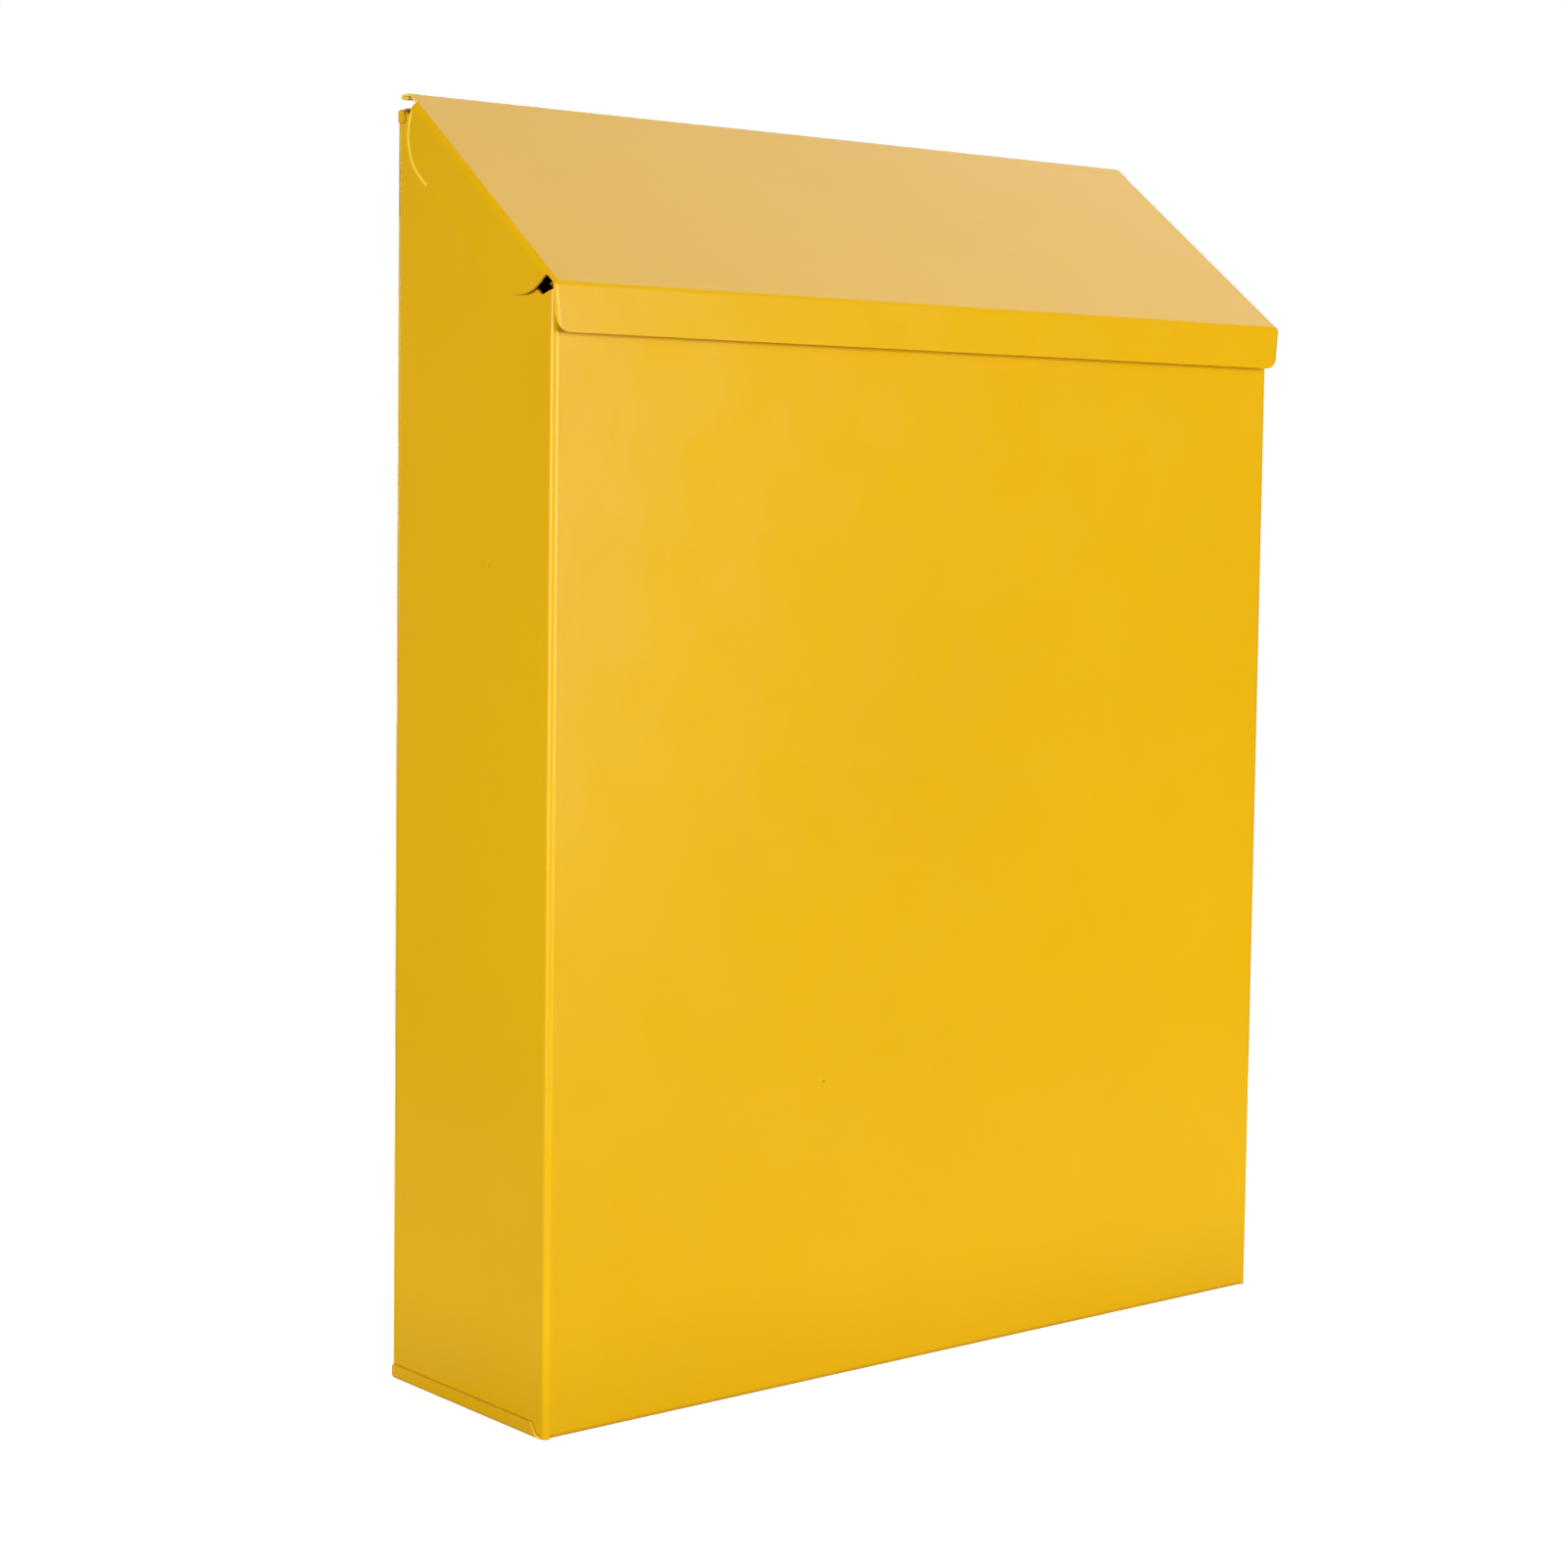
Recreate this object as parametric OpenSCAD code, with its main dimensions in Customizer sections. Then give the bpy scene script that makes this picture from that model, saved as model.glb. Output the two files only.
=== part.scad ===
// Wall mailbox in folded sheet steel, with a sloping lid on two small butt hinges.
// X runs across the width, the front faces -Y and +Z is up.
// The origin is the middle of the footprint, at the base.

/* [Body] */
// Width across the two sides
body_w = 230; // [150:1:350]
// Depth from the front panel's face to the wall
body_d = 62; // [45:1:120]
// Height of the lid's flat top above the base
overall_h = 300; // [200:1:450]
// Thickness of the folded sheet
sheet_t = 0.6; // [0.5:0.05:1]
// Outside radius of the main folds
fold_r = 1.6; // [1.4:0.1:3]
// Outside radius of the narrow folds: laps, tabs and the front's top return
tight_r = 1.2; // [1.1:0.1:1.6]
// Width of the returns that the sides turn in behind the box
return_w = 12; // [6:1:20]
// Height of the floor's upturned rear flange
floor_flange_h = 10; // [6:1:20]
// Depth of the front panel's top return
top_return_d = 4.5; // [3:0.5:8]
// Angle that the top return dips below level
top_return_dip = 20; // [0:1:40]
// Height of the laps that the floor turns up over the sides
lap_h = 3.5; // [2.5:0.1:8]

/* [Back panel] */
// Depth of the flange along the panel's top edge
top_flange_d = 3.5; // [2.5:0.1:4.5]
// Length of the tabs that the flange turns down over the sides
tab_h = 3.3; // [2.5:0.1:8]
// Radius of the wall-screw holes
screw_hole_r = 2.5; // [1.5:0.1:4]
// Distance between the wall-screw holes
screw_pitch = 180; // [148:1:190]
// Height of the holes below the lid's flat top
screw_drop = 25; // [15:1:35]

/* [Lid] */
// Fall from the ridge to the top of the front panel
lid_fall = 44; // [25:1:60]
// Distance of the ridge in front of the wall
ridge_setback = 6; // [5:0.1:8]
// Outside radius of the fold at the ridge
ridge_r = 1.6; // [1.2:0.1:2.5]
// Height of the lip below the front fold
lip_h = 10.7; // [6:0.1:20]
// Radius of the lip's lower corners
lip_corner_r = 4; // [1:0.5:5]
// Amount by which each end of the lip leans in at the bottom
lip_lean = 0.9; // [0:0.1:2]
// Width of the side flanges, and radius of their rounded ends
side_flange_w = 12.2; // [8:0.1:16]
// Distance of the flanges' rear ends from the ridge
flange_rear_gap = 3.8; // [3:0.1:8]
// Distance of the flanges' front ends from the front fold
flange_front_gap = 4; // [3:0.1:8]
// Width of the notch at each end of the ridge
ridge_notch = 1.2; // [0.5:0.1:3]
// Width of the hem folded under the lid's rear edge
hem_w = 3; // [2:0.1:3.2]

/* [Hinges] */
// Distance between the middles of the two hinges
hinge_pitch = 110; // [60:1:118]
// Length of each hinge
hinge_l = 30; // [20:1:40]
// Length of the lid leaf's middle knuckle
mid_knuckle_l = 10; // [6:1:14]
// Thickness of the hinge leaves
leaf_t = 0.5; // [0.4:0.05:0.8]
// Radius of the hinge pins
pin_r = 0.8; // [0.6:0.05:1]
// Radius of the riveted pin heads
pin_head_r = 1.15; // [1:0.05:1.3]
// Thickness of the riveted pin heads
pin_head_t = 0.5; // [0.3:0.05:0.8]
// Height of the body leaf below the hinge axis
body_leaf_h = 18; // [10:1:26]
// Length of the lid leaf down the slope
lid_leaf_l = 14; // [8:1:20]

/* [Clearances] */
// Between the lid's side flanges and the sides
side_gap = 1.1; // [0.7:0.1:3]
// Between the lip and the front panel
lip_gap = 2; // [1:0.1:4]
// Between the closed lid and the front panel's top
seat_gap = 0.3; // [0.2:0.05:1]
// Between a lap or tab and the side that it covers
lap_gap = 0.15; // [0.1:0.05:0.3]
// Between a side's lower edge and the floor
floor_gap = 0.4; // [0.3:0.05:1]
// Between a hinge leaf and the sheet that it is welded to
weld_gap = 0.01; // [0.01:0.01:0.05]
// Around a pin in the knuckle that turns on it
pin_play = 0.05; // [0.02:0.01:0.08]
// Around a pin in the knuckles that hold it
pin_hold = 0.02; // [0.01:0.01:0.04]
// Between neighbouring knuckles
knuckle_gap = 0.3; // [0.2:0.05:0.6]
// Around a hinge in the flange and hem cut out for it
cutout_gap = 1; // [0.8:0.1:3]

/* [Hidden] */
$fn = 64;
paint = [0.93, 0.69, 0.08];
steel = [0.62, 0.62, 0.60];
over = 1; // a cutter's overrun past what it cuts
hair = 0.02; // overlap that joins a flat to a fold

overall_d = body_d + lip_gap + sheet_t;
y_wall = overall_d / 2; // the back panel's rear face
y_seat = y_wall - sheet_t; // where the returns meet the back panel
y_front = y_wall - body_d; // the front panel's face
y_lip = -overall_d / 2; // the lip's face

// Hinge axis, as far below the lid's top as it is in front of the wall. The lid's top strip
// is then flat against the wall when the lid stands upright.
strip_clear = 0.25; // between the knuckles and the lid's top strip
knuckle_r = pin_r + pin_play + leaf_t;
axis_in = strip_clear + knuckle_r + sheet_t;
axis_y = y_wall - axis_in;
axis_z = overall_h - axis_in;

// The lid's rear fold, kept inside the wall plane at every angle of the lid
hem_y = axis_y;
hem_ease = 0.005; // by which the hem's bend is smaller than the two layers that it joins
hem_r = sheet_t - hem_ease;

// Top of the body, just clear of the hem when the lid stands upright
hem_clear = 0.3;
flange_clear = 0.25; // between the back panel's flange and the sides' top edges
body_top = axis_z + (axis_y - hem_y) - sheet_t - hem_clear;
side_top = body_top - sheet_t - flange_clear;

// Top edge of the sides: level at the rear, then down to the front corners
side_flat = 3.5;
front_top = overall_h - lid_fall;
corner_in = 4.3; // where the side's edge stops behind the front
corner_low = front_top - 4;
corner_high = front_top - 2.5;

// The lid's slope leaves the ridge and passes seat_gap above the front panel's top fold.
ridge = [y_wall - ridge_setback, overall_h];
top_fold = [y_front + tight_r, front_top - tight_r];
fall = ridge - top_fold;
slope = atan2(fall[1], fall[0]) - asin((tight_r + seat_gap + sheet_t) / norm(fall));
lip_corner = [y_lip, overall_h - (ridge[0] - y_lip) * tan(slope)];
slope_l = norm(ridge - lip_corner);

lid_w = body_w + 2 * (side_gap + sheet_t);
side_x = body_w / 2;
flat_x = side_x - fold_r; // half of the front's flat width
lap_x = side_x + lap_gap + sheet_t; // outer face of the laps and tabs
side_foot = sheet_t + floor_gap; // lower edge of the sides
return_x = side_x - return_w;

// Ends of the laps: square at the rear, sloping with the fold's notch at the front
lap_rear = y_wall - 1;
lap_front = y_front + 1.4;
lap_taper = 3.1;

flange_inset = 0.4; // between the top flange's ends and the sides' rear folds
flange_x = flat_x - flange_inset; // half of the back panel's width at its top fold
cut_x = hinge_l / 2 + pin_head_t + cutout_gap; // half of a hinge cutout
outer_knuckle_l = (hinge_l - mid_knuckle_l) / 2 - knuckle_gap;

// ---- Shapes shared by the sheet parts ----

// A 2D shape drawn in (Y, Z) and run along X
module along_x(length) {
    rotate([90, 0, 90]) linear_extrude(length, center = true) children();
}

// A 2D shape drawn in (X, Z) and run along Y, from y0 to y1
module along_y(y0, y1) {
    translate([0, y1, 0]) rotate([90, 0, 0]) linear_extrude(y1 - y0) children();
}

// The solid children at both hinges
module at_hinges() {
    for (side = [-1, 1]) translate([side * hinge_pitch / 2, 0, 0]) children();
}

module both_sides() {
    for (side = [0, 1]) mirror([side, 0, 0]) children();
}

function unit(v) = v / norm(v);
function left_of(v) = [-v[1], v[0]];
function turn(a, b) = atan2(a[0] * b[1] - a[1] * b[0], a * b);

// A strip of sheet in section: its outer face follows the points, the sheet lies to the left
// of the path, and corner i is folded to the outside radius radii[i - 1]. Flats run into the
// folds by bite, which joins them where the section lies at an angle.
module strip(points, radii, t, bite = 0) {
    last = len(points) - 1;
    dirs = [for (i = [0:last - 1]) unit(points[i + 1] - points[i])];
    turns = [for (i = [1:last - 1]) turn(dirs[i - 1], dirs[i])];
    face_r = [for (i = [1:last - 1]) turns[i - 1] > 0 ? radii[i - 1] : radii[i - 1] - t];
    cut = [0, for (i = [0:last - 2]) face_r[i] * tan(abs(turns[i]) / 2), 0];
    for (i = [0:last - 1]) {
        a = points[i] + dirs[i] * (i == 0 ? 0 : cut[i] - bite);
        b = points[i + 1] - dirs[i] * (i == last - 1 ? 0 : cut[i + 1] - bite);
        in = left_of(dirs[i]) * t;
        polygon([a, b, b + in, a + in]);
    }
    for (i = [1:last - 1]) {
        hand = sign(turns[i - 1]);
        start = points[i] - dirs[i - 1] * cut[i];
        end = points[i] + dirs[i] * cut[i];
        centre = start + left_of(dirs[i - 1]) * hand * face_r[i - 1];
        reach = 3 * radii[i - 1];
        far_start = centre + unit(start - centre) * reach;
        far_end = centre + unit(end - centre) * reach;
        intersection() {
            translate(centre) difference() {
                circle(radii[i - 1]);
                circle(radii[i - 1] - t);
            }
            polygon([centre, far_start, far_end]);
        }
    }
}

// A polygon, listed anticlockwise, with corner i rounded to radii[i]
module rounded(points, radii) {
    n = len(points);
    in_dir = [for (i = [0:n - 1]) unit(points[i] - points[(i + n - 1) % n])];
    out_dir = [for (i = [0:n - 1]) unit(points[(i + 1) % n] - points[i])];
    cut = [for (i = [0:n - 1]) radii[i] * tan(turn(in_dir[i], out_dir[i]) / 2)];
    polygon([for (i = [0:n - 1]) each cut[i] == 0
        ? [points[i]]
        : [points[i] - in_dir[i] * cut[i], points[i] + out_dir[i] * cut[i]]]);
    for (i = [0:n - 1]) if (radii[i] > 0)
        translate(points[i] - in_dir[i] * cut[i] + left_of(in_dir[i]) * radii[i]) circle(radii[i]);
}

// ---- Front shell: front, sides, floor, laps and returns from one blank ----

// Plan of the front, the two sides and their rear returns
module wrap_plan() {
    strip([
        [-return_x, y_seat], [-side_x, y_seat], [-side_x, y_front],
        [side_x, y_front], [side_x, y_seat], [return_x, y_seat]
    ], [fold_r, fold_r, fold_r, fold_r], sheet_t);
}

// Side view of the sides and of the front's upper corners. The returns stop below the fold
// between the back panel and its flange.
module side_outline() {
    return_top = side_top - tight_r;
    return_y = y_seat - sheet_t - lap_gap;
    polygon([
        [y_front - over, side_foot], [y_seat + over, side_foot], [y_seat + over, return_top],
        [return_y, return_top], [return_y, side_top],
        [y_wall - side_flat, side_top], [y_front + corner_in, corner_low],
        [y_front, corner_high], [y_front - over, corner_high]
    ]);
}

module wrap() {
    difference() {
        intersection() {
            linear_extrude(overall_h) wrap_plan();
            along_x(body_w + 2 * over) side_outline();
        }
        translate([-flat_x, y_front - over, 0]) cube([2 * flat_x, over + fold_r, fold_r]);
    }
}

// Floor with the fold up into the front panel
module floor_front() {
    along_x(2 * flat_x) strip([
        [y_front, fold_r + over], [y_front, 0], [y_seat - fold_r, 0]
    ], [fold_r], sheet_t);
}

// Floor with its upturned rear flange, between the side returns
module floor_rear() {
    along_x(2 * (return_x - over)) strip([
        [y_seat - fold_r - over, 0], [y_seat, 0], [y_seat, floor_flange_h]
    ], [fold_r], sheet_t);
}

// Lap that the floor turns up over a side
module lap() {
    intersection() {
        along_y(lap_front, lap_rear) strip([
            [flat_x - over, 0], [lap_x, 0], [lap_x, lap_h]
        ], [tight_r], sheet_t);
        along_x(2 * (lap_x + over)) polygon([
            [lap_front, 0], [lap_rear, 0], [lap_rear, lap_h], [lap_front + lap_taper, lap_h]
        ]);
    }
}

// The front panel's top edge, folded in and down
module top_return() {
    bend = 90 + top_return_dip;
    corner_z = front_top - tight_r + tight_r * tan(bend / 2);
    reach = top_return_d + tight_r * tan(bend / 2);
    tip = [y_front + reach * cos(top_return_dip), corner_z - reach * sin(top_return_dip)];
    along_x(2 * (flat_x - over)) strip([
        tip, [y_front, corner_z], [y_front, corner_low - over]
    ], [tight_r], sheet_t, hair);
}

module front_shell() {
    color(paint) union() {
        wrap();
        floor_front();
        floor_rear();
        both_sides() lap();
        top_return();
    }
}

// ---- Back panel ----

module back_panel() {
    color(paint) difference() {
        union() {
            // panel as wide as the box, narrower at the flange along its top
            translate([-side_x, y_seat, fold_r])
                cube([2 * side_x, sheet_t, body_top - 2 * tight_r - fold_r]);
            along_x(2 * flange_x) strip([
                [y_wall, fold_r], [y_wall, body_top], [y_wall - top_flange_d, body_top]
            ], [tight_r], sheet_t);
            // flange ends, over the sides' top edges and down their outer faces
            both_sides() along_y(y_wall - top_flange_d, y_wall - tight_r) strip([
                [lap_x, body_top - tab_h], [lap_x, body_top], [flange_x - over, body_top]
            ], [tight_r], sheet_t);
        }
        // room for the hinges in the flange
        at_hinges() translate([-cut_x, y_seat - 2 * top_flange_d, body_top - 2 * tight_r])
            cube([2 * cut_x, 2 * top_flange_d, 3 * tight_r]);
        for (side = [-1, 1])
            translate([side * screw_pitch / 2, y_wall + over, overall_h - screw_drop])
                rotate([90, 0, 0]) cylinder(r = screw_hole_r, h = sheet_t + 2 * over);
    }
}

// ---- Lid: top strip, slope, lip and side flanges from one blank ----

flange_rear = flange_rear_gap;
flange_front = slope_l - flange_front_gap;

// Solids drawn with Y as the distance down the slope and Z as the depth below its face
module on_slope() {
    translate([0, ridge[0], ridge[1]]) rotate([180 + slope, 0, 0]) children();
}

// Lid in side view, from the rear edge to the foot of the lip
module lid_section() {
    strip([
        [cos(slope), -sin(slope)] * (ridge[0] - hem_y), [0, 0],
        [slope_l, 0], [slope_l, 0] + [sin(slope), cos(slope)] * lip_h
    ], [ridge_r, fold_r], sheet_t, hair);
}

// The same from one distance down the slope to another
module lid_part(from, to) {
    intersection() {
        lid_section();
        translate([from, -lip_h - over]) square([to - from, 2 * (lip_h + over)]);
    }
}

// Front view of the lid, with the lip's rounded corners
module lip_outline() {
    foot = lip_corner[1] - lip_h;
    rounded([
        [-lid_w / 2 + lip_lean, foot], [lid_w / 2 - lip_lean, foot],
        [lid_w / 2, lip_corner[1]], [lid_w / 2, overall_h],
        [-lid_w / 2, overall_h], [-lid_w / 2, lip_corner[1]]
    ], [lip_corner_r, lip_corner_r, 0, 0, 0, 0]);
}

// Slope and side flanges as a channel, with the flanges' rounded ends
module lid_channel() {
    intersection() {
        along_y(flange_rear, flange_front) strip([
            [-lid_w / 2, side_flange_w], [-lid_w / 2, 0],
            [lid_w / 2, 0], [lid_w / 2, side_flange_w]
        ], [fold_r, fold_r], sheet_t);
        along_x(lid_w + over) rounded([
            [flange_rear, -over], [flange_front, -over],
            [flange_front, side_flange_w], [flange_rear, side_flange_w]
        ], [0, 0, side_flange_w, side_flange_w]);
    }
}

// Hem folded flat under the strip's rear edge, interrupted at the hinges
module hem() {
    end_x = lid_w / 2 - ridge_notch;
    inner_x = hinge_pitch / 2 - cut_x;
    outer_x = hinge_pitch / 2 + cut_x;
    for (span = [[-end_x, -outer_x], [-inner_x, inner_x], [outer_x, end_x]])
        translate([(span[0] + span[1]) / 2, 0, 0]) along_x(span[1] - span[0])
            rotate(-180 - slope) translate(-ridge) {
                translate([hem_y - hem_w, overall_h - 2 * sheet_t])
                    square([hem_w, 1.5 * sheet_t]);
                translate([hem_y, overall_h - sheet_t]) circle(hem_r);
            }
}

module lid() {
    color(paint) union() {
        on_slope() {
            hem();
            along_x(lid_w - 2 * ridge_notch) lid_part(-2 * ridge_setback, flange_rear);
            along_x(lid_w - 2 * fold_r) lid_part(flange_rear - over, flange_front + over);
            lid_channel();
        }
        intersection() {
            on_slope() along_x(lid_w) lid_part(flange_front, slope_l + 2 * lip_h);
            along_y(y_lip - over, y_wall) lip_outline();
        }
    }
}

// ---- Hinges: two leaves with rolled knuckles and a riveted pin ----

// Knuckle from x0 to x1 along the hinge axis
module knuckle(x0, x1, bore_r) {
    translate([x0, axis_y, axis_z]) rotate([0, 90, 0]) difference() {
        cylinder(r = knuckle_r, h = x1 - x0);
        translate([0, 0, -over]) cylinder(r = bore_r, h = x1 - x0 + 2 * over);
    }
}

module body_leaf() {
    bore_r = pin_r + pin_hold;
    foot = axis_z - body_leaf_h;
    clear = axis_z - knuckle_r - knuckle_gap;
    leaf_y = y_seat - weld_gap - leaf_t;
    color(paint) union() {
        translate([-hinge_l / 2, leaf_y, foot]) cube([hinge_l, leaf_t, clear - foot]);
        both_sides() {
            knuckle(hinge_l / 2 - outer_knuckle_l, hinge_l / 2, bore_r);
            translate([hinge_l / 2 - outer_knuckle_l, leaf_y, clear - over])
                cube([outer_knuckle_l, leaf_t, axis_z - pin_r / 2 - clear + over]);
        }
    }
}

// The leaf's upper face, from the knuckle forward and down the underside of the slope
module lid_leaf_section(rear) {
    depth = sheet_t + weld_gap;
    inner = ridge + [depth * tan(slope / 2), -depth];
    strip([
        [rear, inner[1]], inner, inner - [cos(slope), sin(slope)] * lid_leaf_l
    ], [ridge_r], leaf_t, hair);
}

module lid_leaf() {
    color(paint) union() {
        along_x(hinge_l) lid_leaf_section(axis_y - knuckle_r - knuckle_gap);
        along_x(mid_knuckle_l) lid_leaf_section(axis_y);
        knuckle(-mid_knuckle_l / 2, mid_knuckle_l / 2, pin_r + pin_play);
    }
}

module hinge_pin() {
    color(steel) translate([0, axis_y, axis_z]) rotate([0, 90, 0]) {
        cylinder(r = pin_r, h = hinge_l, center = true);
        for (side = [-1, 1]) translate([0, 0, side * (hinge_l + pin_head_t) / 2])
            cylinder(r = pin_head_r, h = pin_head_t, center = true);
    }
}

module left() { translate([-hinge_pitch / 2, 0, 0]) children(); }
module right() { translate([hinge_pitch / 2, 0, 0]) children(); }

front_shell();
back_panel();
lid();
left() body_leaf();  // left_hinge_body_leaf
left() lid_leaf();  // left_hinge_lid_leaf
left() hinge_pin();  // left_hinge_pin
right() body_leaf();  // right_hinge_body_leaf
right() lid_leaf();  // right_hinge_lid_leaf
right() hinge_pin();  // right_hinge_pin
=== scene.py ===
# Wall mailbox: sheet parts drawn as flat blanks and bent into shape, on a pale studio floor.
import math

import bmesh
import bpy
from mathutils import Matrix, Vector, noise


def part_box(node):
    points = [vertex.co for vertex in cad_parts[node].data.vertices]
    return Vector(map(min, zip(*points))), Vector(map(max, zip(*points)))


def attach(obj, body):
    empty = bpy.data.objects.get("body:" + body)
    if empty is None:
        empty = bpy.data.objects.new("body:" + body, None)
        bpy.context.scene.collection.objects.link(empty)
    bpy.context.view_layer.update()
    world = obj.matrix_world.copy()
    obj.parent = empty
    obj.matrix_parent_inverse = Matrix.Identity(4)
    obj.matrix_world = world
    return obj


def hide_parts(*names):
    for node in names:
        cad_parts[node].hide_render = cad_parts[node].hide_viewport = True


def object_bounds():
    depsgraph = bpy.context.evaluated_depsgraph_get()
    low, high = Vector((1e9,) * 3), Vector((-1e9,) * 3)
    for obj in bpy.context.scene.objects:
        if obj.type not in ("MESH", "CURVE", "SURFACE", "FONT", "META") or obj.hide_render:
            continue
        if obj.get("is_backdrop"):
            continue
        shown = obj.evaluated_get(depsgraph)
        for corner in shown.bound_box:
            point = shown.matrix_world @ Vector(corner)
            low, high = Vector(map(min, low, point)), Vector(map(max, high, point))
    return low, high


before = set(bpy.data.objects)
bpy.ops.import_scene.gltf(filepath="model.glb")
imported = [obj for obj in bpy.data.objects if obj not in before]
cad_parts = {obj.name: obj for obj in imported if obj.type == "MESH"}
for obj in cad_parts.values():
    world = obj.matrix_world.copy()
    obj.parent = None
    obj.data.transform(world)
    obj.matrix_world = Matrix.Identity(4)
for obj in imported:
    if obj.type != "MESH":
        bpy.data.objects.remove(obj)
cad_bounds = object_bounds()
MM = 0.001
scene = bpy.context.scene
collection = scene.collection


def corners(node):
    """Lowest and highest corner of a CAD node, in millimetres."""
    low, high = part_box(node)
    return low / MM, high / MM


# ---- Sizes, in millimetres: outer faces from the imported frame, the rest as in the CAD ----
shell_low, shell_high = corners("front_shell")
panel_high = corners("back_panel")[1]
lid_low, lid_high = corners("lid")
SHEET = 0.6  # thickness
FOLD = 1.6  # outer radius of a plain fold
REAR_FOLD = 0.9  # outer radius at the rear of the sides, tighter than in the CAD
TIGHT = 1.2  # outer radius of a tight fold
HALF_W = 115.0  # half the width of the body
Y_FRONT = shell_low.y
Y_WALL = panel_high.y
Y_SEAT = Y_WALL - SHEET  # where the returns lie against the back panel
LAP_X = shell_high.x
BODY_TOP = panel_high.z
SIDE_TOP = shell_high.z
FRONT_TOP = lid_high.z - 44.0
SIDE_FOOT = 253.5  # lower end of a side's sloping edge
LID_HALF = lid_high.x
LID_TOP = lid_high.z
RIDGE_Y = Y_WALL - 6.0  # front edge of the lid's flat top strip
HINGE_X = 55.0  # middle of a hinge
CUT_X = 16.5  # half the width of the cut-out around a hinge
AXIS_Y = Y_WALL - 2.2  # hinge axis
LAP_H = 3.5  # height of the laps at the foot
RETURN_W = 12.0  # width of the returns at the rear of the sides
UPTURN_H = 10.0  # height of the floor's rear flange
HOLE_X, HOLE_DROP, HOLE_R = 90.0, 25.0, 2.5  # wall-screw holes
LIP_H = 10.7  # height of the lid's lip
FLANK_H = 12.2  # width of the lid's side flanges
HEM_R, HEM_W = 0.65, 3.0  # outer radius of the lid's rear hem, and how far it is folded back

# ---- Fineness of the meshes ----
FOLD_STEP = 0.28  # millimetres of blank between cuts in a fold
CURL_STEP = 0.25  # the same, at the ends of the lip
NO_CUTS = 200.0  # a step longer than any flat that needs no cuts
CUT_SNAP = 0.005  # a cut keeps a point that lies this near to it
MERGE = 0.01  # points nearer than this are one point
HOLE_SIDES = 48  # points around a screw hole


def arc(radius, degrees):
    """Length of an arc."""
    return radius * math.radians(degrees)


def along(angle):
    """The direction of a path with this heading."""
    return Vector((math.cos(angle), math.sin(angle)))


def left_of(angle):
    """The direction to the left of such a path."""
    return Vector((-math.sin(angle), math.cos(angle)))


class Folds:
    """Maps a distance along a blank to its section: flats joined by folds to the left."""

    def __init__(self, start, heading, steps):
        self.parts = []
        point, angle, s = Vector(start), math.radians(heading), 0.0
        for kind, size, *rest in steps:
            if kind == "flat":
                self.parts.append((s, s + size, "flat", point.copy(), angle, 0.0))
                point = point + along(angle) * size
                s += size
            else:
                radius, turn = size, math.radians(rest[0])
                length = radius * turn
                self.parts.append((s, s + length, "fold", point.copy(), angle, radius))
                centre = point + left_of(angle) * radius
                angle += turn
                point = centre - left_of(angle) * radius
                s += length
        self.length = s

    def __call__(self, s):
        """Point and outward normal of the outer face at s."""
        part = self.parts[0]
        for candidate in self.parts:
            if s >= candidate[0] - 1e-9:
                part = candidate
        s0, _, kind, point, angle, radius = part
        if kind == "flat":
            return point + along(angle) * (s - s0), -left_of(angle)
        centre = point + left_of(angle) * radius
        out = -left_of(angle + (s - s0) / radius)
        return centre + out * radius, out

    def lines(self, flat_step, fold_step):
        """Where a blank is cut so that it bends smoothly."""
        found = []
        for s0, s1, kind, *_ in self.parts:
            count = max(1, round((s1 - s0) / (fold_step if kind == "fold" else flat_step)))
            found += [s0 + (s1 - s0) * i / count for i in range(count + 1)]
        return sorted(set(round(v, 5) for v in found))


def flap(reach, radius, height):
    """A flat that reaches out from the middle and folds into a flap of the given height."""
    steps = [("flat", reach - radius), ("fold", radius, 90), ("flat", height - radius)]
    return Folds((0, 0), 0, steps)


def cut(bm, axis, value):
    """Cuts a blank along the line where its axis 0 or 1 has this value."""
    point, normal = [0, 0, 0], [0, 0, 0]
    point[axis], normal[axis] = value, 1
    geom = bm.verts[:] + bm.edges[:] + bm.faces[:]
    bmesh.ops.bisect_plane(bm, geom=geom, dist=CUT_SNAP, plane_co=point, plane_no=normal)


def blank(outlines, x_lines, s_lines):
    """A flat blank as a bmesh, with X across and Y along its section, cut where it will bend."""
    bm = bmesh.new()
    for outline in outlines:
        bm.faces.new([bm.verts.new((p[0], p[1], 0)) for p in outline])
    bmesh.ops.remove_doubles(bm, verts=bm.verts, dist=MERGE)
    for axis, lines in ((0, x_lines), (1, s_lines)):
        low = min(v.co[axis] for v in bm.verts) + 2 * MERGE
        high = max(v.co[axis] for v in bm.verts) - 2 * MERGE
        for value in lines:
            if low < value < high:
                cut(bm, axis, value)
    bmesh.ops.remove_doubles(bm, verts=bm.verts, dist=MERGE)
    return bm


def mirrored(half):
    """A whole outline from its right half."""
    return half + [(-x, s) for x, s in reversed(half)]


def both_ways(values):
    """The values and their negatives."""
    return list(values) + [-v for v in values]


def quarter_arc(centre, radius, steps, first=0):
    """Points from straight towards -s of the centre round to straight towards +x of it."""
    points = []
    for k in range(first, steps + 1):
        a = math.radians(90 * k / steps)
        points.append((centre[0] + radius * math.sin(a), centre[1] - radius * math.cos(a)))
    return points


def spread(low, high, step):
    """Values from low to high in equal steps of about the given size."""
    count = max(1, round((high - low) / step))
    return [low + (high - low) * i / count for i in range(count + 1)]


EDGE_HIGHLIGHT_SLOT = 1  # material slot of the sheet edges, coloured lighter: a painted highlight for light caught on the rounded edges


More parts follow.
